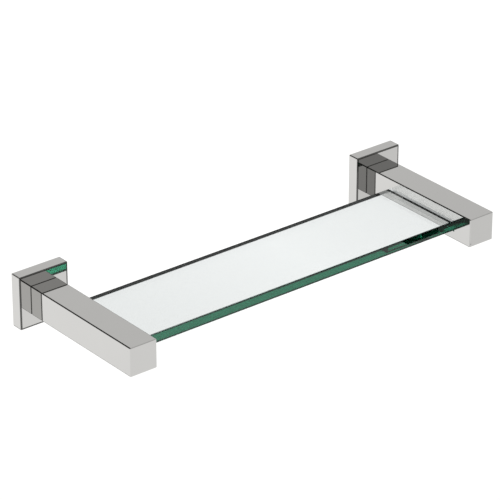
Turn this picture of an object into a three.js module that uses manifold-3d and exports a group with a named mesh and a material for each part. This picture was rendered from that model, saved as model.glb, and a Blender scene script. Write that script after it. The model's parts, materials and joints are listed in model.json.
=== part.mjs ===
// Glass bathroom shelf on two square polished brackets, modelled as it comes apart on a bench.
// Millimetres. +X runs to the right along the wall, +Y runs into the wall, +Z is up.
// The origin is on the wall's face, midway between the brackets, at the height of the arms' centres.

import * as THREE from 'three';
import { mergeVertices } from 'three/addons/utils/BufferGeometryUtils.js';
import Module from 'manifold-3d';

const wasm = await Module();
wasm.setup();

// ---------------------------------------------------------------- driving dimensions

const BRACKET_SPACING = 345;
const ARM_SIZE = 25;
const ARM_PROJECTION = 140;
const ROSE_SIZE = 46;
const ROSE_THICKNESS = 11;
const METAL_EDGE_RADIUS = 0.5;
const METAL_END_CHAMFER = 0.3;

const GLASS_THICKNESS = 9;
const GLASS_DEPTH = 79;
const GLASS_FRONT_RECESS = 19;
const GLASS_IN_ARM = 1;
const GLASS_ARRIS = 0.8;

const SEAT_WALL = 0.65;
const SEAT_SET_BACK = 0.3;
const SLIDING_GAP = 0.1;
const CUT_GAP = 0.3;

const POCKET_SIZE = 35;
const POCKET_DEPTH = 8;
const POCKET_CORNER = 3;
const PLATE_THICKNESS = 7;

const ARM_SCREW = { radius: 2.5, length: 16, headRadius: 4.6, headHeight: 2.5 };
const ARM_SCREW_SOCKET = { acrossFlats: 3, depth: 1.7 };
const ARM_SCREW_PITCH = 13;

const WALL_SCREW = { radius: 2, length: 25, headRadius: 4, headHeight: 2.4, tip: 4 };
const WALL_SCREW_PITCH = 13;
const CROSS_RECESS = { length: 3.6, width: 0.9, depth: 1.6 };

const PLUG = { radius: 3, length: 20, collar: 6, slit: 0.9, rib: 0.35, ribPitch: 3.5 };

const SET_SCREW = { radius: 2.5, length: 5, chamfer: 0.5 };
const SET_SCREW_SOCKET = { acrossFlats: 2.5, depth: 2.2 };
const SET_SCREW_FROM_WALL = 4;
const SET_SCREW_TIP_GAP = 0.1;

const ROUND_SEGMENTS = 24;
const CORNER_SEGMENTS = 3;
const MERGE_TOLERANCE = 1e-4;

// ---------------------------------------------------------------- worked-out dimensions

const roseFront = -ROSE_THICKNESS;
const pocketFloor = -POCKET_DEPTH;
const armLength = ARM_PROJECTION - ROSE_THICKNESS;
const plateSize = POCKET_SIZE - 2 * CUT_GAP;

const glassFront = -ARM_PROJECTION + GLASS_FRONT_RECESS;
const glassMiddle = glassFront + GLASS_DEPTH / 2;
const glassLength = BRACKET_SPACING - ARM_SIZE + 2 * GLASS_IN_ARM;

// The slot closes down on the glass from above. Below the glass it leaves room for the seat.
const glassTop = GLASS_THICKNESS / 2;
const seatBottom = -glassTop - SLIDING_GAP - SEAT_WALL;
const seatReach = GLASS_IN_ARM + SLIDING_GAP + SEAT_WALL;
const slotTop = glassTop + SLIDING_GAP;
const slotBottom = seatBottom - SLIDING_GAP;
const slotReach = seatReach + SLIDING_GAP;

const setScrewTip = -plateSize / 2 - SET_SCREW_TIP_GAP;

// ---------------------------------------------------------------- finishes

const polished = { color: 0xd8d8d6, roughness: 0.05, metalness: 1 };
const plainSteel = { color: 0x9c9fa3, roughness: 0.35, metalness: 1 };
const castZinc = { color: 0x8e9094, roughness: 0.55, metalness: 0.9 };
const floatGlass = { color: 0xa8c8ba, roughness: 0.02, metalness: 0, transparent: true, opacity: 0.4 };
const softSeat = { color: 0x15171a, roughness: 0.6, metalness: 0 };
const greyNylon = { color: 0xb9bcc0, roughness: 0.6, metalness: 0 };

function finish(look) {
  return new THREE.MeshStandardMaterial(look);
}

// ---------------------------------------------------------------- solids

const X_AXIS = new THREE.Vector3(1, 0, 0);
const Y_AXIS = new THREE.Vector3(0, 1, 0);
const Z_AXIS = new THREE.Vector3(0, 0, 1);
const SECTION_ALONG_X = new THREE.Matrix4().makeBasis(Y_AXIS, Z_AXIS, X_AXIS);
const SECTION_TOWARDS_ROOM = new THREE.Matrix4().makeBasis(X_AXIS, Z_AXIS, Y_AXIS.clone().negate());

function toSolid(geometry) {
  const bare = geometry.clone();
  bare.deleteAttribute('normal');
  bare.deleteAttribute('uv');
  const merged = mergeVertices(bare, MERGE_TOLERANCE);
  const corners = merged.index.array;
  const triangles = [];
  for (let i = 0; i < corners.length; i += 3) {
    const [a, b, c] = corners.slice(i, i + 3);
    if (a !== b && b !== c && c !== a) {
      triangles.push(a, b, c);
    }
  }
  return new wasm.Manifold(new wasm.Mesh({
    numProp: 3,
    vertProperties: new Float32Array(merged.attributes.position.array),
    triVerts: new Uint32Array(triangles),
  }));
}

function toGeometry(solid) {
  const mesh = solid.getMesh();
  const geometry = new THREE.BufferGeometry();
  geometry.setAttribute('position', new THREE.BufferAttribute(mesh.vertProperties, mesh.numProp));
  geometry.setIndex(new THREE.BufferAttribute(mesh.triVerts, 1));
  return geometry;
}

function cut(body, ...tools) {
  return toGeometry(tools.reduce((rest, tool) => rest.subtract(toSolid(tool)), toSolid(body)));
}

function box(width, depth, height, x, y, z) {
  return new THREE.BoxGeometry(width, depth, height).translate(x, y, z);
}

function roundedRectangle(width, height, radius) {
  const x = width / 2;
  const y = height / 2;
  const shape = new THREE.Shape();
  shape.moveTo(-x + radius, -y);
  shape.absarc(x - radius, -y + radius, radius, -Math.PI / 2, 0);
  shape.absarc(x - radius, y - radius, radius, 0, Math.PI / 2);
  shape.absarc(-x + radius, y - radius, radius, Math.PI / 2, Math.PI);
  shape.absarc(-x + radius, -y + radius, radius, Math.PI, 1.5 * Math.PI);
  return shape;
}

// A block with softened edges, its long direction running from yBack out into the room.
function softBlock(size, length, yBack, edge) {
  const section = roundedRectangle(size, size, edge);
  const geometry = new THREE.ExtrudeGeometry(section, {
    depth: length - 2 * METAL_END_CHAMFER,
    curveSegments: CORNER_SEGMENTS,
    bevelThickness: METAL_END_CHAMFER,
    bevelSize: METAL_END_CHAMFER,
    bevelOffset: -METAL_END_CHAMFER,
    bevelSegments: 1,
  });
  geometry.translate(0, 0, METAL_END_CHAMFER);
  return geometry.applyMatrix4(SECTION_TOWARDS_ROOM).translate(0, yBack, 0);
}

// A straight prism over a rounded rectangle in the wall's plane, from yBack out into the room.
function prism(width, height, corner, length, yBack) {
  const geometry = new THREE.ExtrudeGeometry(roundedRectangle(width, height, corner), {
    depth: length,
    curveSegments: CORNER_SEGMENTS,
    bevelEnabled: false,
  });
  return geometry.applyMatrix4(SECTION_TOWARDS_ROOM).translate(0, yBack, 0);
}

// A turned piece on the Y axis. The profile lists [radius, y] from end to end.
function turned(profile) {
  const points = profile.map(([radius, y]) => new THREE.Vector2(radius, y));
  return new THREE.LatheGeometry(points, ROUND_SEGMENTS);
}

function rod(radius, yFrom, yTo) {
  return turned([[0, yFrom], [radius, yFrom], [radius, yTo], [0, yTo]]);
}

// A hexagonal key recess on the Y axis, given by its width across flats.
function hexRecess(acrossFlats, yFrom, yTo) {
  const radius = acrossFlats / Math.sqrt(3);
  const geometry = new THREE.CylinderGeometry(radius, radius, yTo - yFrom, 6);
  return geometry.translate(0, (yFrom + yTo) / 2, 0);
}

// A countersunk screw on the Y axis: its flat head starts at y = 0 and `towards` is +1 or -1.
function countersunk(radius, length, headRadius, headHeight, towards, tip = 0.6) {
  const tipRadius = Math.max(radius - tip / 2, 0.2);
  const profile = [
    [0, 0],
    [headRadius, 0],
    [headRadius, 0.3],
    [radius, headHeight],
    [radius, length - tip],
    [tipRadius, length],
    [0, length],
  ];
  if (towards > 0) {
    return turned(profile);
  }
  return turned(profile.map(([r, y]) => [r, -y]).reverse());
}

// ---------------------------------------------------------------- pieces of one bracket

// The slot is a blind pocket in the arm's inner face, which looks towards the other bracket.
function armGeometry(inward) {
  const bar = softBlock(ARM_SIZE, armLength, roseFront, METAL_EDGE_RADIUS);
  const innerFace = (inward * ARM_SIZE) / 2;
  const overcut = 1;
  const pocketReach = slotReach + overcut;
  const pocketDepth = GLASS_DEPTH + 2 * SLIDING_GAP;
  const pocketMiddle = innerFace - (inward * (slotReach - overcut)) / 2;
  const pocket = box(
    pocketReach,
    pocketDepth,
    slotTop - slotBottom,
    pocketMiddle,
    glassMiddle,
    (slotTop + slotBottom) / 2,
  );
  const holeEnd = pocketFloor - ARM_SCREW.length - CUT_GAP;
  const holeRadius = ARM_SCREW.radius + CUT_GAP;
  const holes = atScrewHeights(ARM_SCREW_PITCH, () => rod(holeRadius, holeEnd, roseFront + overcut));
  return cut(bar, pocket, ...holes);
}

function roseGeometry() {
  const block = softBlock(ROSE_SIZE, ROSE_THICKNESS, 0, METAL_EDGE_RADIUS);
  const overcut = 1;
  const pocket = prism(POCKET_SIZE, POCKET_SIZE, POCKET_CORNER, POCKET_DEPTH + overcut, overcut);
  const seats = atScrewHeights(ARM_SCREW_PITCH, () => {
    const head = countersunk(
      ARM_SCREW.radius + CUT_GAP,
      ROSE_THICKNESS,
      ARM_SCREW.headRadius + CUT_GAP,
      ARM_SCREW.headHeight + CUT_GAP,
      -1,
    );
    return head.translate(0, pocketFloor, 0);
  });
  const setScrewHole = rod(SET_SCREW.radius + CUT_GAP, POCKET_SIZE / 4, ROSE_SIZE / 2 + overcut);
  setScrewHole.rotateX(-Math.PI / 2).translate(0, -SET_SCREW_FROM_WALL, 0);
  return cut(block, pocket, ...seats, setScrewHole);
}

function wallPlateGeometry() {
  const plate = prism(plateSize, plateSize, POCKET_CORNER, PLATE_THICKNESS, 0);
  const seats = atScrewHeights(WALL_SCREW_PITCH, () => {
    const seat = countersunk(
      WALL_SCREW.radius + CUT_GAP,
      WALL_SCREW.length,
      WALL_SCREW.headRadius + CUT_GAP,
      WALL_SCREW.headHeight + CUT_GAP,
      1,
    );
    return seat.translate(0, -PLATE_THICKNESS, 0);
  });
  return cut(plate, ...seats);
}

// An angle strip, with one thin leg under the glass and the other behind its end.
function glassSeatGeometry(inward) {
  const innerFace = (inward * ARM_SIZE) / 2;
  const outerEnd = innerFace - inward * seatReach;
  const reach = seatReach - SEAT_SET_BACK;
  const reachMiddle = outerEnd + (inward * reach) / 2;
  const height = glassTop - seatBottom;
  const middle = (glassTop + seatBottom) / 2;
  const outside = box(reach, GLASS_DEPTH, height, reachMiddle, glassMiddle, middle);
  const overcut = 1;
  const hollowMiddle = reachMiddle + inward * SEAT_WALL;
  const hollowDepth = GLASS_DEPTH + 2 * overcut;
  const hollow = box(reach, hollowDepth, height, hollowMiddle, glassMiddle, middle + SEAT_WALL);
  return cut(outside, hollow);
}

function armScrewGeometry() {
  const { radius, length, headRadius, headHeight } = ARM_SCREW;
  const body = countersunk(radius, length, headRadius, headHeight, -1);
  return cut(body, hexRecess(ARM_SCREW_SOCKET.acrossFlats, -ARM_SCREW_SOCKET.depth, 1));
}

function wallScrewGeometry() {
  const { radius, length, headRadius, headHeight, tip } = WALL_SCREW;
  const overcut = 1;
  const depth = CROSS_RECESS.depth + overcut;
  const y = (CROSS_RECESS.depth - overcut) / 2;
  const across = box(CROSS_RECESS.length, depth, CROSS_RECESS.width, 0, y, 0);
  const upright = box(CROSS_RECESS.width, depth, CROSS_RECESS.length, 0, y, 0);
  return cut(countersunk(radius, length, headRadius, headHeight, 1, tip), across, upright);
}

// A ribbed plug with a plain collar at the wall's face and four fingers behind it.
function wallPlugGeometry() {
  const profile = [[0, 0], [PLUG.radius, 0], [PLUG.radius, PLUG.collar]];
  for (let y = PLUG.collar; y + PLUG.ribPitch <= PLUG.length; y += PLUG.ribPitch) {
    profile.push([PLUG.radius - PLUG.rib, y + 0.4], [PLUG.radius, y + PLUG.ribPitch]);
  }
  profile.push([PLUG.radius - PLUG.rib, PLUG.length], [0, PLUG.length]);
  const overcut = 1;
  const bore = rod(WALL_SCREW.radius + CUT_GAP, -overcut, PLUG.length + overcut);
  const slitLength = PLUG.length - PLUG.collar + overcut;
  const slitMiddle = PLUG.collar + slitLength / 2;
  const width = 2 * PLUG.radius + overcut;
  const across = box(width, slitLength, PLUG.slit, 0, slitMiddle, 0);
  const upright = box(PLUG.slit, slitLength, width, 0, slitMiddle, 0);
  return cut(turned(profile), bore, across, upright);
}

// A headless screw that stands upright under the rose and bears on the wall plate's lower edge.
function setScrewGeometry() {
  const { radius, length, chamfer } = SET_SCREW;
  const body = turned([
    [0, -length],
    [radius - chamfer, -length],
    [radius, -length + chamfer],
    [radius, -chamfer],
    [radius - chamfer, 0],
    [0, 0],
  ]);
  const socket = hexRecess(SET_SCREW_SOCKET.acrossFlats, -length - 1, -length + SET_SCREW_SOCKET.depth);
  return cut(body, socket).rotateX(Math.PI / 2);
}

// Two copies of a tool, one above and one below the bracket's centre.
function atScrewHeights(pitch, make) {
  return [pitch / 2, -pitch / 2].map((z) => make().translate(0, 0, z));
}

// ---------------------------------------------------------------- the glass

function glassGeometry() {
  const y = GLASS_DEPTH / 2;
  const z = GLASS_THICKNESS / 2;
  const section = new THREE.Shape([
    new THREE.Vector2(-y + GLASS_ARRIS, -z),
    new THREE.Vector2(y - GLASS_ARRIS, -z),
    new THREE.Vector2(y, -z + GLASS_ARRIS),
    new THREE.Vector2(y, z - GLASS_ARRIS),
    new THREE.Vector2(y - GLASS_ARRIS, z),
    new THREE.Vector2(-y + GLASS_ARRIS, z),
    new THREE.Vector2(-y, z - GLASS_ARRIS),
    new THREE.Vector2(-y, -z + GLASS_ARRIS),
  ]);
  const geometry = new THREE.ExtrudeGeometry(section, { depth: glassLength, bevelEnabled: false });
  return geometry.translate(0, 0, -glassLength / 2).applyMatrix4(SECTION_ALONG_X);
}

// ---------------------------------------------------------------- assembly

function piece(name, geometry, look, x = 0, y = 0, z = 0) {
  const mesh = new THREE.Mesh(geometry, finish(look));
  mesh.name = name;
  mesh.position.set(x, y, z);
  return mesh;
}

function bracket(side, name) {
  const inward = -side;
  const group = new THREE.Group();
  group.position.x = (side * BRACKET_SPACING) / 2;
  group.add(
    piece(`${name}_arm`, armGeometry(inward), polished),
    piece(`${name}_rose`, roseGeometry(), polished),
    piece(`${name}_glass_seat`, glassSeatGeometry(inward), softSeat),
    piece(`${name}_wall_plate`, wallPlateGeometry(), castZinc),
    piece(`${name}_set_screw`, setScrewGeometry(), plainSteel, 0, -SET_SCREW_FROM_WALL, setScrewTip),
  );
  for (const [level, sign] of [['upper', 1], ['lower', -1]]) {
    const armZ = (sign * ARM_SCREW_PITCH) / 2;
    const wallZ = (sign * WALL_SCREW_PITCH) / 2;
    group.add(
      piece(`${name}_${level}_arm_screw`, armScrewGeometry(), plainSteel, 0, pocketFloor, armZ),
      piece(`${name}_${level}_wall_screw`, wallScrewGeometry(), plainSteel, 0, -PLATE_THICKNESS, wallZ),
      piece(`${name}_${level}_wall_plug`, wallPlugGeometry(), greyNylon, 0, 0, wallZ),
    );
  }
  return group;
}

const shelf = new THREE.Group();
shelf.add(
  piece('glass_shelf', glassGeometry(), floatGlass, 0, glassMiddle, 0),
  bracket(-1, 'left'),
  bracket(1, 'right'),
);

export default shelf;
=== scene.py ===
# A glass bathroom shelf on two square polished brackets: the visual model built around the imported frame.
# Metres, in the frame's own axes: +X to the right along the wall, +Y into the wall, +Z up.
import json
import math

import bmesh
import bpy
from mathutils import Matrix, Vector


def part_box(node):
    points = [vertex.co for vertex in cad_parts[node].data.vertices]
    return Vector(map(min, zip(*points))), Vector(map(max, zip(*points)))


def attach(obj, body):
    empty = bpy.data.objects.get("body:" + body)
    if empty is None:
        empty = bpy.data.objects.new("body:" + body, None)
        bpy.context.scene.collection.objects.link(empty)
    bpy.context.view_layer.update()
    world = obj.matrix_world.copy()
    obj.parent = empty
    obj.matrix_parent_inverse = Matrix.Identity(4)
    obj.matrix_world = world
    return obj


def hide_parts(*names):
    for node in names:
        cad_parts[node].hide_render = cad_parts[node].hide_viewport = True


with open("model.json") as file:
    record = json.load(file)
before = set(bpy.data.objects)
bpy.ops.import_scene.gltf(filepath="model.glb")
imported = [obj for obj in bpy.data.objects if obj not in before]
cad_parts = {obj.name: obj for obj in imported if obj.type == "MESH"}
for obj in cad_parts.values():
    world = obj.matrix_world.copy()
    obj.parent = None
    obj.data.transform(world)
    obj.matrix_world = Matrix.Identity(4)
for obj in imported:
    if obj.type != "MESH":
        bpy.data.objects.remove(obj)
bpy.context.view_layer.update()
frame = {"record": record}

MM = 0.001
SIDES = {"left": -1, "right": 1}
LEVELS = {"upper": 1, "lower": -1}

# ---------------------------------------------------------------- sizes in metres, angles in radians

METAL_EDGE = 0.8 * MM
ROSE_EDGE = 1.1 * MM
# width of a painted shade ring round the rose's front face
PAINTED_RIM_WIDTH = 0.6 * MM
GLASS_ARRIS = 0.7 * MM
GLASS_BACK_ARRIS = 0.2 * MM
GLASS_PAINTED_SHADE_HEIGHT = 1.3 * MM  # painted shade: the height of a dark line low on the glass's edge
SEAT_WALL = 0.65 * MM
SEAT_EDGE = 0.1 * MM
SLOT_GAP = 0.1 * MM
PLATE_CORNER = 3 * MM
PLATE_RIM = 0.4 * MM
POCKET_DEPTH = 8 * MM
HOLE_GAP = 0.3 * MM
HOLE_REACH = 12 * MM
OVERCUT = 1 * MM

ARM_SCREW = {
    "radius": 2.5 * MM,
    "head": 4.6 * MM,
    "head_height": 2.5 * MM,
    "plain": 3.2 * MM,
    "tip": 0.6 * MM,
    "pitch": 0.8 * MM,
    "thread_depth": 0.4 * MM,
}
WALL_SCREW = {
    "radius": 2.0 * MM,
    "head": 4.0 * MM,
    "head_height": 2.4 * MM,
    "plain": 7 * MM,
    "tip": 4 * MM,
    "pitch": 1.8 * MM,
    "thread_depth": 0.6 * MM,
}
SET_SCREW = {
    "radius": 2.5 * MM,
    "chamfer": 0.5 * MM,
    "socket": 2.5 * MM,
    "socket_depth": 2.2 * MM,
    "pitch": 0.8 * MM,
    "thread_depth": 0.4 * MM,
}
HEAD_CHAMFER = 0.15 * MM
HEAD_BAND = 0.35 * MM
TIP_SHOULDER = 0.55  # of the shank's radius
TIP_POINT = 0.12  # of the shank's radius
TIP_TAPER = 0.4  # of the tip's length
THREAD_OVERRUN = 0.01 * MM
RECESS_DEPTH = 1.7 * MM
HEX_RECESS = 3 * MM
CROSS_REACH = 1.9 * MM
CROSS_HALF_WIDTH = 0.42 * MM
CROSS_TAPER = {"x": 0.45, "y": 0.6}  # how much of its size a cross slot keeps at its bottom

PLUG_COLLAR = 6 * MM
PLUG_CHAMFER = 0.2 * MM
PLUG_RIBS = 6
PLUG_TOOTH = 0.45 * MM
PLUG_TOOTH_FOOT = 0.15  # of a rib's length
PLUG_TOOTH_TOP = 0.9  # of a rib's length
PLUG_BORE_GAP = 0.15 * MM
PLUG_SLIT = 0.9 * MM
PLUG_SLIT_REACH = 1.2  # of the plug's radius

FLATS_ANGLE = math.radians(40)  # corners sharper than this stay sharp
THREAD_ANGLE = math.radians(50)  # the same, on a threaded piece
SQUARE_EDGE = math.radians(60)  # an edge that turns by more than this is still square
STRIP_FACE = 0.9995  # a face whose normal has a larger part than this along one axis is flat, and not a rounded edge
PARALLEL = 0.99  # an edge that covers a larger part of its length than this along an axis runs along it
FRONT_FACE = 0.9999  # a face whose normal has a larger part than this out from the wall is the front

# ---------------------------------------------------------------- camera

CAMERA_AZIMUTH = math.radians(-38.8)
CAMERA_ELEVATION = math.radians(26.99)
CAMERA_DISTANCE = 2.5249
CAMERA_TARGET = Vector((-0.0050, -0.0596, 0.0062))
CAMERA_LENS = 226.98
CAMERA_SENSOR = 36


def place_camera():
    data = bpy.data.cameras.new("camera")
    data.lens = CAMERA_LENS
    data.sensor_width = CAMERA_SENSOR
    camera = bpy.data.objects.new("camera", data)
    bpy.context.scene.collection.objects.link(camera)
    flat = math.cos(CAMERA_ELEVATION)
    across, away = math.sin(CAMERA_AZIMUTH) * flat, math.cos(CAMERA_AZIMUTH) * flat
    back = Vector((across, -away, math.sin(CAMERA_ELEVATION)))
    camera.location = CAMERA_TARGET + back * CAMERA_DISTANCE
    camera.rotation_euler = back.to_track_quat("Z", "Y").to_euler()
    bpy.context.scene.camera = camera


# ---------------------------------------------------------------- node helpers


class Nodes:
    """A short way to write a node tree. Most calls add nodes and return the output to use; add returns the node."""

    def __init__(self, tree):
        self.tree = tree
        tree.nodes.clear()

    def add(self, kind, **settings):
        node = self.tree.nodes.new(kind)
        for name, value in settings.items():
            setattr(node, name, value)
        return node

    def feed(self, socket, value):
        if isinstance(value, bpy.types.NodeSocket):
            self.tree.links.new(value, socket)
        else:
            socket.default_value = value

    def math(self, operation, *values):
        node = self.add("ShaderNodeMath", operation=operation)
        for socket, value in zip(node.inputs, values):
            self.feed(socket, value)
        return node.outputs[0]

    def place(self, stretch=(1, 1, 1)):
        """The point in the piece's own space, in metres, scaled by stretch."""
        mapping = self.add("ShaderNodeMapping")
        self.feed(mapping.inputs["Vector"], self.add("ShaderNodeTexCoord").outputs["Object"])
        mapping.inputs["Scale"].default_value = stretch
        return mapping.outputs[0]

    def noise(self, scale, detail, stretch=(1, 1, 1)):
        node = self.add("ShaderNodeTexNoise")
        self.feed(node.inputs["Vector"], self.place(stretch))
        node.inputs["Scale"].default_value = scale
        node.inputs["Detail"].default_value = detail
        return node.outputs["Fac"]

    def spread(self, value, low, high, at=(0.3, 0.7)):
        """Maps the band `at` of a value on to low..high, held at the ends."""
        node = self.add("ShaderNodeMapRange")
        for socket, number in zip(node.inputs[:5], (value, at[0], at[1], low, high)):
            self.feed(socket, number)
        return node.outputs[0]

    def blend(self, factor, first, second):
        """Mixes two colours. Inputs 6 and 7 and output 2 are the Mix node's colour sockets."""
        node = self.add("ShaderNodeMix", data_type="RGBA")
        self.feed(node.inputs["Factor"], factor)
        for socket, colour in zip(node.inputs[6:8], (first, second)):
            self.feed(socket, (*colour, 1) if isinstance(colour, tuple) else colour)
        return node.outputs[2]

    def bump(self, height, distance):
        node = self.add("ShaderNodeBump")
        self.feed(node.inputs["Height"], height)
        node.inputs["Distance"].default_value = distance
        return node.outputs[0]

    def surface(self, **inputs):
        shader = self.add("ShaderNodeBsdfPrincipled")
        for name, value in inputs.items():
            self.feed(shader.inputs[name.replace("_", " ")], value)
        output = self.add("ShaderNodeOutputMaterial")
        self.tree.links.new(shader.outputs[0], output.inputs["Surface"])
        return output


def material(name):
    made = bpy.data.materials.new(name)
    made.use_nodes = True
    return made, Nodes(made.node_tree)


# ---------------------------------------------------------------- materials

METAL_TINT = (0.600, 0.596, 0.585)
# painted shade: the rounded edges get this dark metal colour in place of the dark reflections that run along them
PAINTED_EDGE_SHADE_TINT = (0.12, 0.119, 0.115)
GLASS_FACE_TINT = (0.905, 0.893, 0.908)
GLASS_EDGE_TINT = (0.06, 0.467, 0.285)
# the next tint is painted shade: a near-black line low on the glass's edges
GLASS_PAINTED_SHADE_TINT = (0.001, 0.01, 0.006)
GLASS_DEPTH_TINT = (0.325, 0.525, 0.465)
RUBBER_TINTS = (0.010, 0.010, 0.011), (0.018, 0.018, 0.019)
CASTING_TINTS = (0.42, 0.43, 0.45), (0.54, 0.55, 0.57)
STEEL_TINTS = (0.52, 0.53, 0.55), (0.66, 0.66, 0.66)
NYLON_TINTS = (0.50, 0.51, 0.53), (0.58, 0.59, 0.61)
GLASS_DENSITY = 20
GLASS_IOR = 1.52
METAL_POLISH = 0.01
EDGE_POLISH = 0.08
POLISH_WEAR = 0.03
CLOUD_SHADE = 0.985
FLAT_FACE = 0.9  # a face whose normal has a larger part than this along one axis is flat, and not an arris


def metal_material(name, tint, polish):
    """Mirror-polished metal: faint cloudiness in the polish and hairline buffing marks along the bar."""
    made, nodes = material(name)
    cloud = nodes.noise(scale=35, detail=2)
    hairlines = nodes.noise(scale=900, detail=2, stretch=(1, 0.02, 1))
    worn = nodes.math("MULTIPLY", cloud, hairlines)
    darker = tuple(channel * CLOUD_SHADE for channel in tint)
    nodes.surface(
        Base_Color=nodes.blend(nodes.spread(cloud, low=0, high=1), tint, darker),
        Metallic=1.0,
        Roughness=nodes.spread(worn, low=polish, high=polish + POLISH_WEAR, at=(0.15, 0.45)),
    )
    return made


def glass_material():
    """Float glass, green through its depth and its edges, with a painted shade line low on the edges, and ground
    arrises.
    """
    made, nodes = material("float_glass")
    normal = nodes.add("ShaderNodeSeparateXYZ")
    nodes.feed(normal.inputs[0], nodes.add("ShaderNodeNewGeometry").outputs["True Normal"])
    across = nodes.math("ABSOLUTE", normal.outputs["X"])
    outward = nodes.math("ABSOLUTE", normal.outputs["Y"])
    upward = nodes.math("ABSOLUTE", normal.outputs["Z"])
    widest = nodes.math("MAXIMUM", nodes.math("MAXIMUM", across, outward), upward)
    ground = nodes.math("LESS_THAN", widest, FLAT_FACE)
    grit = nodes.spread(nodes.noise(scale=900, detail=1), low=0.01, high=0.03)
    edge_face = nodes.math("GREATER_THAN", outward, FLAT_FACE)
    place = nodes.add("ShaderNodeSeparateXYZ")
    nodes.feed(place.inputs[0], nodes.place())
    # painted shade: a near-black band along the bottom of the glass's edges, where the lower arris is seen dark;
    # above it the edges keep the glass's own green
    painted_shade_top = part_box("glass_shelf")[0][2] + GLASS_ARRIS + GLASS_PAINTED_SHADE_HEIGHT
    foot = nodes.math("LESS_THAN", place.outputs["Z"], painted_shade_top)
    edge_green_and_painted_shade = nodes.blend(foot, GLASS_EDGE_TINT, GLASS_PAINTED_SHADE_TINT)
    output = nodes.surface(
        Base_Color=nodes.blend(edge_face, GLASS_FACE_TINT, edge_green_and_painted_shade),
        Roughness=nodes.math("MULTIPLY", ground, grit),
        IOR=GLASS_IOR,
        Transmission_Weight=1.0,
    )
    depth = nodes.add("ShaderNodeVolumeAbsorption")
    depth.inputs["Color"].default_value = (*GLASS_DEPTH_TINT, 1)
    depth.inputs["Density"].default_value = GLASS_DENSITY
    made.node_tree.links.new(depth.outputs[0], output.inputs["Volume"])
    return made


def rubber_material():
    """Matte black rubber with a fine grain."""
    made, nodes = material("black_rubber")
    grain = nodes.noise(scale=2500, detail=2)
    nodes.surface(
        Base_Color=nodes.blend(grain, *RUBBER_TINTS),
        Roughness=nodes.spread(grain, low=0.5, high=0.7),
        Normal=nodes.bump(grain, distance=0.03 * MM),
    )
    return made


def casting_material():
    """Plain zinc casting: a pebbled skin with paler and darker patches."""
    made, nodes = material("zinc_casting")
    skin = nodes.noise(scale=700, detail=4)
    patches = nodes.noise(scale=60, detail=2)
    nodes.surface(
        Base_Color=nodes.blend(nodes.spread(patches, low=0, high=1), *CASTING_TINTS),
        Metallic=1.0,
        Roughness=nodes.spread(skin, low=0.38, high=0.6),
        Normal=nodes.bump(skin, distance=0.08 * MM),
    )
    return made


def steel_material():
    """Bright plated steel with turning marks round it and a little tarnish."""
    made, nodes = material("plated_steel")
    turning = nodes.noise(scale=1500, detail=2, stretch=(1, 8, 1))
    tarnish = nodes.noise(scale=250, detail=3)
    nodes.surface(
        Base_Color=nodes.blend(nodes.spread(tarnish, low=0, high=1), *STEEL_TINTS),
        Metallic=1.0,
        Roughness=nodes.spread(turning, low=0.2, high=0.38),
        Normal=nodes.bump(turning, distance=0.01 * MM),
    )
    return made


def nylon_material():
    """Moulded grey nylon, slightly mottled."""
    made, nodes = material("grey_nylon")
    mottle = nodes.noise(scale=300, detail=3)
    nodes.surface(
        Base_Color=nodes.blend(nodes.spread(mottle, low=0, high=1), *NYLON_TINTS),
        Roughness=nodes.spread(mottle, low=0.45, high=0.6),
        Normal=nodes.bump(nodes.noise(scale=2200, detail=2), distance=0.02 * MM),
    )
    return made


# ---------------------------------------------------------------- mesh helpers


def box_bmesh(low, high):
    bm = bmesh.new()
    low, high = Vector(low), Vector(high)
    bmesh.ops.create_cube(bm, size=1, matrix=Matrix.LocRotScale((low + high) / 2, None, high - low))
    return bm


def bevel(bm, edges, width, segments=4, profile=0.5):
    bmesh.ops.bevel(bm, geom=list(edges), offset=width, segments=segments, profile=profile, affect="EDGES")


def runs_along(edge, axis):
    """Whether an edge is parallel to axis 0, 1 or 2."""
    run = edge.verts[1].co - edge.verts[0].co
    return abs(run[axis]) > PARALLEL * run.length


def lathe_bmesh(profile, centre, axis, segments=48, radius_at=None):
    """Turns a profile of (radius, distance along the axis) about axis, closed at both ends.
    radius_at, if given, changes each radius by where it is round the axis and along it."""
    bm = bmesh.new()
    turn = Vector((0, 0, 1)).rotation_difference(Vector(axis)).to_matrix()
    rings = []
    for radius, along in profile:
        ring = []
        for step in range(segments):
            angle = math.tau * step / segments
            wide = radius_at(radius, along, angle) if radius_at else radius
            point = Vector((wide * math.cos(angle), wide * math.sin(angle), along))
            ring.append(bm.verts.new(turn @ point + centre))
        rings.append(ring)
    for lower, upper in zip(rings, rings[1:]):
        for step in range(segments):
            after = (step + 1) % segments
            bm.faces.new((lower[step], lower[after], upper[after], upper[step]))
    bm.faces.new(reversed(rings[0]))
    bm.faces.new(rings[-1])
    return bm


def to_object(bm, name):
    bmesh.ops.recalc_face_normals(bm, faces=bm.faces)
    mesh = bpy.data.meshes.new(name)
    bm.to_mesh(mesh)
    bm.free()
    made = bpy.data.objects.new(name, mesh)
    bpy.context.scene.collection.objects.link(made)
    return made


def bake_modifiers(made):
    """Replaces the object's mesh by what its modifiers make of it."""
    ready = made.evaluated_get(bpy.context.evaluated_depsgraph_get())
    mesh = bpy.data.meshes.new_from_object(ready)
    made.modifiers.clear()
    made.data = mesh


def cut(made, *tools):
    """Cuts each tool, a bmesh, out of the object."""
    cutters = [to_object(tool, "cutter") for tool in tools]
    for cutter in cutters:
        for each in made.data.materials:
            cutter.data.materials.append(each)
        modifier = made.modifiers.new("cut", "BOOLEAN")
        modifier.operation = "DIFFERENCE"
        modifier.solver = "EXACT"
        modifier.object = cutter
    bake_modifiers(made)
    for cutter in cutters:
        bpy.data.objects.remove(cutter)


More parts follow.
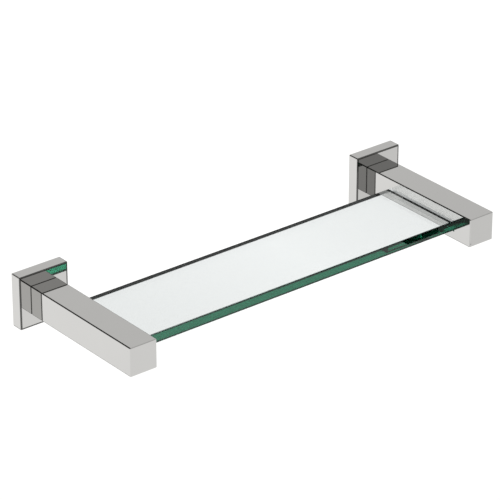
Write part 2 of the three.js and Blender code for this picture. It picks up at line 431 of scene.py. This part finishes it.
def smooth(made, sharp_angle=FLATS_ANGLE):
    """Smooth shading that keeps the flats flat: corners sharper than the angle stay sharp."""
    mesh = made.data
    mesh.shade_smooth()
    bm = bmesh.new()
    bm.from_mesh(mesh)
    for edge in bm.edges:
        edge.smooth = len(edge.link_faces) == 2 and edge.calc_face_angle(0) < sharp_angle
    bm.to_mesh(mesh)
    bm.free()
    weighted = made.modifiers.new("flats", "WEIGHTED_NORMAL")
    weighted.keep_sharp = True
    weighted.weight = 100
    bake_modifiers(made)


def finish_piece(made, node, slot, *materials):
    """Gives the piece its materials, puts it on its body and lets it stand for its CAD node."""
    for body, members in frame["record"]["behaviour"]["bodies"].items():
        if node in members:
            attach(made, body)
    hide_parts(node)
    while len(made.data.materials) < len(materials):
        made.data.materials.append(None)
    for index, each in enumerate(materials):
        made.data.materials[index] = each


# ---------------------------------------------------------------- pieces


def side_of(node):
    return SIDES[node.split("_")[0]]


def corners(node):
    return tuple(Vector(corner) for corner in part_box(node))


def centred(node, **place):
    """The middle of a node's box, with x, y or z moved to the place given."""
    low, high = corners(node)
    middle = (low + high) / 2
    for axis, value in place.items():
        setattr(middle, axis, value)
    return middle


def square_edges(bm):
    return [edge for edge in bm.edges if edge.calc_face_angle(0) > SQUARE_EDGE]


def countersink(head_face, sizes, towards):
    """The hole for a countersunk screw, on a line square to the wall. towards is +1 into the wall, -1 out of it."""
    shank, head = sizes["radius"] + HOLE_GAP, sizes["head"] + HOLE_GAP
    seat = [
        (head, -OVERCUT),
        (head, HOLE_GAP),
        (shank, sizes["head_height"] + HOLE_GAP),
        (shank, HOLE_REACH),
    ]
    return lathe_bmesh(seat, head_face, (0, towards, 0))


def paint_edge_shade(made, gets_painted_shade):
    """Gives the rounded strips between flats the second material, a painted shade that stands in for the dark
    reflections along the edges, wherever the given test says so.
    """
    for face in made.data.polygons:
        slanted = max(abs(part) for part in face.normal) < STRIP_FACE
        if slanted and gets_painted_shade(face.center):
            face.material_index = 1


def arm_piece(name, metal, edge):
    low, high = corners(f"{name}_arm")
    bm = box_bmesh(low, high)
    bevel(bm, bm.edges, METAL_EDGE, segments=5)
    made = to_object(bm, f"{name}_arm_polished")
    made.data.materials.append(metal)
    made.data.materials.append(edge)
    # the arm's rounded edges, all but those round its front end, get the painted dark edge shade
    paint_edge_shade(made, lambda place: place.y > low.y + METAL_EDGE)
    seat_low, seat_high = corners(f"{name}_glass_seat")
    gap = Vector((SLOT_GAP, SLOT_GAP, SLOT_GAP))
    slot_low, slot_high = seat_low - gap, seat_high + gap
    if side_of(name) < 0:
        slot_high.x = high.x + OVERCUT
    else:
        slot_low.x = low.x - OVERCUT
    slot = box_bmesh(slot_low, slot_high)
    holes = [screw_hole(f"{name}_{level}_arm_screw", high.y) for level in LEVELS]
    cut(made, slot, *holes)
    smooth(made)
    finish_piece(made, f"{name}_arm", "polished_metal", metal, edge)


def screw_hole(node, mouth):
    """The blind hole in an arm's back end that one of its screws goes into."""
    end = centred(node, y=corners(node)[0].y - HOLE_GAP)
    length = mouth + OVERCUT - end.y
    wide = ARM_SCREW["radius"] + HOLE_GAP
    return lathe_bmesh([(wide, 0), (wide, length)], end, (0, 1, 0), segments=32)


def rose_piece(name, metal, edge):
    low, high = corners(f"{name}_rose")
    bm = box_bmesh(low, high)
    bevel(bm, bm.edges, ROSE_EDGE, segments=6, profile=0.75)
    # painted shade: a thin ring round the rose's front face gets the dark edge material, widening the dark lines
    # along its front edges
    front = [face for face in bm.faces if face.normal.y < -FRONT_FACE]
    ring = bmesh.ops.inset_region(bm, faces=front, thickness=PAINTED_RIM_WIDTH)["faces"]
    for face in ring:
        face.material_index = 1
    made = to_object(bm, f"{name}_rose_polished")
    made.data.materials.append(metal)
    made.data.materials.append(edge)
    # the rose's rounded edges, all but the back ones at the wall, get the painted dark edge shade
    paint_edge_shade(made, lambda place: place.y < high.y - ROSE_EDGE)
    plate_low, plate_high = corners(f"{name}_wall_plate")
    gap = Vector((HOLE_GAP, 0, HOLE_GAP))
    pocket_low, pocket_high = plate_low - gap, plate_high + gap
    pocket_low.y = high.y - POCKET_DEPTH
    pocket_high.y = high.y + OVERCUT
    pocket = box_bmesh(pocket_low, pocket_high)
    bevel(pocket, [e for e in pocket.edges if runs_along(e, 1)], PLATE_CORNER, segments=8)
    tools = [pocket]
    for level in LEVELS:
        screw = f"{name}_{level}_arm_screw"
        tools.append(countersink(centred(screw, y=corners(screw)[1].y), ARM_SCREW, -1))
    screw = f"{name}_set_screw"
    bottom = centred(screw, z=low.z - OVERCUT)
    length = corners(screw)[1].z - bottom.z + OVERCUT
    wide = SET_SCREW["radius"] + HOLE_GAP
    tools.append(lathe_bmesh([(wide, 0), (wide, length)], bottom, (0, 0, 1)))
    cut(made, *tools)
    smooth(made)
    finish_piece(made, f"{name}_rose", "polished_metal", metal, edge)


def glass_piece(glass):
    low, high = corners("glass_shelf")
    bm = box_bmesh(low, high)
    front = [e for e in bm.edges if all(vert.co.y < low.y + OVERCUT for vert in e.verts)]
    bevel(bm, front, GLASS_ARRIS, segments=1)
    bevel(bm, square_edges(bm), GLASS_BACK_ARRIS, segments=1)
    made = to_object(bm, "glass_pane")
    finish_piece(made, "glass_shelf", "glass", glass)


def seat_piece(name, rubber):
    """An angle strip: a thin leg under the glass and another behind its end."""
    low, high = corners(f"{name}_glass_seat")
    bm = box_bmesh(low, high)
    bevel(bm, bm.edges, SEAT_EDGE, segments=2)
    made = to_object(bm, f"{name}_seat_strip")
    made.data.materials.append(rubber)
    hollow_low = low + Vector((SEAT_WALL, -OVERCUT, SEAT_WALL))
    hollow_high = high + Vector((OVERCUT, OVERCUT, OVERCUT))
    if side_of(name) > 0:
        hollow_low.x = low.x - OVERCUT
        hollow_high.x = high.x - SEAT_WALL
    cut(made, box_bmesh(hollow_low, hollow_high))
    smooth(made)
    finish_piece(made, f"{name}_glass_seat", "soft_seat", rubber)


def plate_piece(name, casting):
    low, high = corners(f"{name}_wall_plate")
    bm = box_bmesh(low, high)
    bevel(bm, [e for e in bm.edges if runs_along(e, 1)], PLATE_CORNER, segments=8)
    bevel(bm, square_edges(bm), PLATE_RIM, segments=3)
    made = to_object(bm, f"{name}_plate_casting")
    tools = []
    for level in LEVELS:
        screw = f"{name}_{level}_wall_screw"
        tools.append(countersink(centred(screw, y=corners(screw)[0].y), WALL_SCREW, 1))
    cut(made, *tools)
    smooth(made)
    finish_piece(made, f"{name}_wall_plate", "cast_plate", casting)


def thread_profile(radius, start, length, pitch, steps=8):
    """Rings close enough along the axis to carry a thread of that pitch."""
    count = int(length / pitch * steps)
    return [(radius, start + length * step / count) for step in range(count + 1)]


def thread_cut(pitch, depth, start, end, fade):
    """Cuts a helical groove into a shank between start and end, fading in and out."""

    def radius_at(radius, along, angle):
        if not start < along < end:
            return radius
        phase = (along / pitch - angle / math.tau) % 1.0
        groove = depth * (1 - abs(2 * phase - 1)) * min(1.0, (along - start) / fade, (end - along) / fade)
        return radius - groove

    return radius_at


def hex_bmesh(across_flats, low, high, centre, axis):
    radius = across_flats / math.sqrt(3)
    return lathe_bmesh([(radius, low), (radius, high)], centre, axis, segments=6)


def screw_piece(node, steel, sizes, towards, recess):
    """A countersunk screw on a line square to the wall. towards is +1 into the wall, -1 out into the arm."""
    low, high = corners(node)
    length = high.y - low.y
    head_face = centred(node, y=low.y if towards > 0 else high.y)
    radius, head, plain, tip, pitch = (sizes[key] for key in ("radius", "head", "plain", "tip", "pitch"))
    profile = [(head - HEAD_CHAMFER, 0), (head, HEAD_CHAMFER), (head, HEAD_BAND), (radius, sizes["head_height"])]
    profile += thread_profile(radius, plain, length - plain - tip, pitch)
    profile += [(radius * TIP_SHOULDER, length - tip * TIP_TAPER), (radius * TIP_POINT, length)]
    groove = thread_cut(pitch, sizes["thread_depth"], plain, length - tip + THREAD_OVERRUN, pitch)
    bm = lathe_bmesh(profile, head_face, (0, towards, 0), segments=32, radius_at=groove)
    made = to_object(bm, f"{node}_turned")
    cut(made, *recess(head_face, (0, towards, 0)))
    smooth(made, THREAD_ANGLE)
    finish_piece(made, node, "plain_steel", steel)


def hex_recess(head_face, axis):
    return [hex_bmesh(HEX_RECESS, -OVERCUT, RECESS_DEPTH, head_face, axis)]


def cross_recess(head_face, axis):
    """Two crossed wedge slots, deepest in the middle of the head."""
    tools = []
    for turn in (0, math.pi / 2):
        low, high = (-CROSS_REACH, -CROSS_HALF_WIDTH, -OVERCUT), (CROSS_REACH, CROSS_HALF_WIDTH, RECESS_DEPTH)
        bm = box_bmesh(low, high)
        for vert in bm.verts:
            if vert.co.z > 0:
                vert.co.x *= CROSS_TAPER["x"]
                vert.co.y *= CROSS_TAPER["y"]
        onto = Vector((0, 0, 1)).rotation_difference(Vector(axis)).to_matrix().to_4x4()
        bm.transform(Matrix.Translation(head_face) @ onto @ Matrix.Rotation(turn, 4, "Z"))
        tools.append(bm)
    return tools


def set_screw_piece(name, steel):
    node = f"{name}_set_screw"
    low, high = corners(node)
    length = high.z - low.z
    bottom = centred(node, z=low.z)
    radius, pitch, chamfer = SET_SCREW["radius"], SET_SCREW["pitch"], SET_SCREW["chamfer"]
    profile = [(radius - chamfer, 0)]
    profile += thread_profile(radius, chamfer, length - 2 * chamfer, pitch)
    profile += [(radius - chamfer, length)]
    groove = thread_cut(pitch, SET_SCREW["thread_depth"], 0, length, chamfer)
    bm = lathe_bmesh(profile, bottom, (0, 0, 1), segments=32, radius_at=groove)
    made = to_object(bm, f"{node}_turned")
    cut(made, hex_bmesh(SET_SCREW["socket"], -OVERCUT, SET_SCREW["socket_depth"], bottom, (0, 0, 1)))
    smooth(made, THREAD_ANGLE)
    finish_piece(made, node, "plain_steel", steel)


def plug_piece(node, nylon):
    """A ribbed wall plug: a plain collar at the wall's face, then sawtooth ribs on four fingers."""
    low, high = corners(node)
    length = high.y - low.y
    mouth = centred(node, y=low.y)
    radius = (high.z - low.z) / 2
    root = radius - PLUG_TOOTH
    pitch = (length - PLUG_COLLAR) / PLUG_RIBS
    profile = [(radius - PLUG_CHAMFER, 0), (radius, PLUG_CHAMFER), (radius, PLUG_COLLAR)]
    for rib in range(PLUG_RIBS):
        start = PLUG_COLLAR + rib * pitch
        foot, top = start + PLUG_TOOTH_FOOT * pitch, start + PLUG_TOOTH_TOP * pitch
        profile += [(root, foot), (radius, top), (radius, start + pitch)]
    profile[-1] = (root, length)
    made = to_object(lathe_bmesh(profile, mouth, (0, 1, 0), segments=40), f"{node}_moulded")
    bore = WALL_SCREW["radius"] + PLUG_BORE_GAP
    tools = [lathe_bmesh([(bore, -OVERCUT), (bore, length + OVERCUT)], mouth, (0, 1, 0), segments=32)]
    start = mouth + Vector((0, PLUG_COLLAR, 0))
    end = mouth + Vector((0, length + OVERCUT, 0))
    wide, narrow = radius * PLUG_SLIT_REACH, PLUG_SLIT / 2
    for half in (Vector((wide, 0, narrow)), Vector((narrow, 0, wide))):
        tools.append(box_bmesh(start - half, end + half))
    cut(made, *tools)
    smooth(made)
    finish_piece(made, node, "nylon", nylon)


# ---------------------------------------------------------------- stage

LIGHT_TINT = (1, 0.997, 0.99, 1)  # of the floor and of the cards

FLOOR_HEIGHT = -0.45
FLOOR_REACH = 12.0
FLOOR_SIDES = 96
FLOOR_AWAY = {"low": 0.93, "high": 1.1, "at": (-0.8, 0.7)}
FLOOR_AHEAD = {"low": 1, "high": 0, "at": (-0.4, 0.0)}
FLOOR_BEHIND = {"low": 0, "high": 1, "at": (0.0, 0.4)}
FLOOR_TO_THE_RIGHT = {"low": 0.06, "high": -0.05, "at": (0.34, 0.76)}
POOL_X = 0.58
POOL = {"low": 0.12, "high": 0, "at": (0, 0.22)}

ROOM_TINT = (1, 0.995, 0.985, 1)
ROOM_ACROSS = {"low": 0.04, "high": 0.64, "at": (-0.35, 0.45)}
ROOM_FACING = {"low": 0.78, "high": 1.22, "at": (-1, 1)}

CARD_THICKNESS = 0.5 * MM

# Level cards that the mirror faces or the glass see, and the camera doesn't: left, front, right, back, height,
# brightness, and which of the two sees them. They were placed for the view from this scene's own camera, so the
# reflections that they make match the photograph from there only.
CARDS = {
    "black_card_for_the_back_edge": (0.03, -0.358, 0.44, -0.334, -0.20, 0.0, "glass"),
    "dark_card_above_the_back_edge": (0.05, 0.2537, 0.4165, 0.2598, 0.20, 0.16, "metal"),
    "black_card_for_the_front_edge": (0.372, -0.424, 0.4175, -0.413, -0.20, 0.0, "metal"),
    "grey_card_behind_the_left": (-0.249, 0.30, -0.242, 0.46, -0.30, 0.55, "glass"),
    "grey_card_low_on_the_left": (-0.35, -0.60, -0.15, -0.38, -0.30, 0.475, "metal"),
    "grey_card_high_on_the_right": (0.45, -0.54, 0.66, -0.4095, 0.285, 0.37, "metal"),
    "soft_box_behind_the_left": (-0.165, 0.18, -0.1361, 0.31, 0.22, 2.7, "metal"),
    "white_card_high_on_the_right": (0.485, -0.409, 0.53, -0.3995, 0.285, 1.0, "metal"),
    "white_card_behind_the_middle": (-0.109, 0.235, -0.08, 0.2478, 0.20, 0.95, "metal"),
    "white_card_behind_the_left": (-0.135, 0.235, -0.1125, 0.2495, 0.20, 0.6, "glass"),
    "white_card_far_behind_the_left": (-0.165, 0.235, -0.135, 0.253, 0.20, 0.6, "glass"),
    "soft_box_in_front": (0.09, -0.47, 0.15, -0.41, 0.20, 2.0, "glass"),
}


def lit_material(name, strength_of):
    """A surface that only gives off light. strength_of makes its strength, given the node tree."""
    made, nodes = material(name)
    shader = nodes.add("ShaderNodeEmission")
    shader.inputs["Color"].default_value = LIGHT_TINT
    nodes.feed(shader.inputs["Strength"], strength_of(nodes))
    output = nodes.add("ShaderNodeOutputMaterial")
    made.node_tree.links.new(shader.outputs[0], output.inputs["Surface"])
    return made


def floor_light(nodes):
    """The floor's brightness: it rises towards the back, with a soft pool of light behind the shelf on the
    right, and ahead of the shelf it falls towards the right."""
    place = nodes.add("ShaderNodeSeparateXYZ")
    nodes.feed(place.inputs[0], nodes.add("ShaderNodeNewGeometry").outputs["Position"])
    away = nodes.spread(place.outputs["Y"], **FLOOR_AWAY)
    ahead = nodes.spread(place.outputs["Y"], **FLOOR_AHEAD)
    behind = nodes.spread(place.outputs["Y"], **FLOOR_BEHIND)
    off_centre = nodes.math("ABSOLUTE", nodes.math("SUBTRACT", place.outputs["X"], POOL_X))
    pool = nodes.math("MULTIPLY", nodes.spread(off_centre, **POOL), behind)
    fall = nodes.math("MULTIPLY", nodes.spread(place.outputs["X"], **FLOOR_TO_THE_RIGHT), ahead)
    return nodes.math("ADD", away, nodes.math("ADD", pool, fall))


def build_stage():
    bm = bmesh.new()
    bmesh.ops.create_circle(bm, cap_ends=True, radius=FLOOR_REACH, segments=FLOOR_SIDES)
    bm.transform(Matrix.Translation((0, 0, FLOOR_HEIGHT)))
    floor = to_object(bm, "floor")
    floor.data.materials.append(lit_material("pale_floor", floor_light))
    for name, (left, front, right, back, height, brightness, seen_by) in CARDS.items():
        low, high = (left, front, height), (right, back, height + CARD_THICKNESS)
        card = to_object(box_bmesh(low, high), name)
        card.data.materials.append(lit_material(name, lambda nodes: brightness))
        card.visible_camera = False
        card.visible_glossy = seen_by != "glass"
        card.visible_transmission = seen_by != "metal"


def light_room():
    """A room that reflections and light see as pale on the right and dim on the left, as beside a large
    window. The camera itself sees it at full brightness all over."""
    world = bpy.data.worlds.new("room")
    bpy.context.scene.world = world
    world.use_nodes = True
    nodes = Nodes(world.node_tree)
    aim = nodes.add("ShaderNodeSeparateXYZ")
    nodes.feed(aim.inputs[0], nodes.add("ShaderNodeTexCoord").outputs["Generated"])
    across = nodes.spread(aim.outputs["X"], **ROOM_ACROSS)
    facing = nodes.spread(aim.outputs["Y"], **ROOM_FACING)
    lit = nodes.math("MULTIPLY", across, facing)
    seen = nodes.add("ShaderNodeLightPath").outputs["Is Camera Ray"]
    background = nodes.add("ShaderNodeBackground")
    background.inputs["Color"].default_value = ROOM_TINT
    nodes.feed(background.inputs["Strength"], nodes.math("MAXIMUM", lit, seen))
    output = nodes.add("ShaderNodeOutputWorld")
    world.node_tree.links.new(background.outputs[0], output.inputs["Surface"])


# ---------------------------------------------------------------- the scene

LIGHT_BOUNCES = 24
MIRROR_BOUNCES = 12

scene = bpy.context.scene
scene.view_settings.view_transform = "Standard"
scene.cycles.max_bounces = LIGHT_BOUNCES
scene.cycles.transmission_bounces = LIGHT_BOUNCES
scene.cycles.glossy_bounces = MIRROR_BOUNCES

place_camera()
build_stage()
light_room()

metal = metal_material("polished_metal", METAL_TINT, METAL_POLISH)
# the edge material is painted shade: its dark colour stands in for the dark reflections along the rounded edges
edge = metal_material("painted_dark_edge", PAINTED_EDGE_SHADE_TINT, EDGE_POLISH)
rubber = rubber_material()
casting = casting_material()
steel = steel_material()
nylon = nylon_material()

glass_piece(glass_material())
for name in SIDES:
    arm_piece(name, metal, edge)
    rose_piece(name, metal, edge)
    seat_piece(name, rubber)
    plate_piece(name, casting)
    set_screw_piece(name, steel)
    for level in LEVELS:
        screw_piece(f"{name}_{level}_arm_screw", steel, ARM_SCREW, -1, hex_recess)
        screw_piece(f"{name}_{level}_wall_screw", steel, WALL_SCREW, 1, cross_recess)
        plug_piece(f"{name}_{level}_wall_plug", nylon)
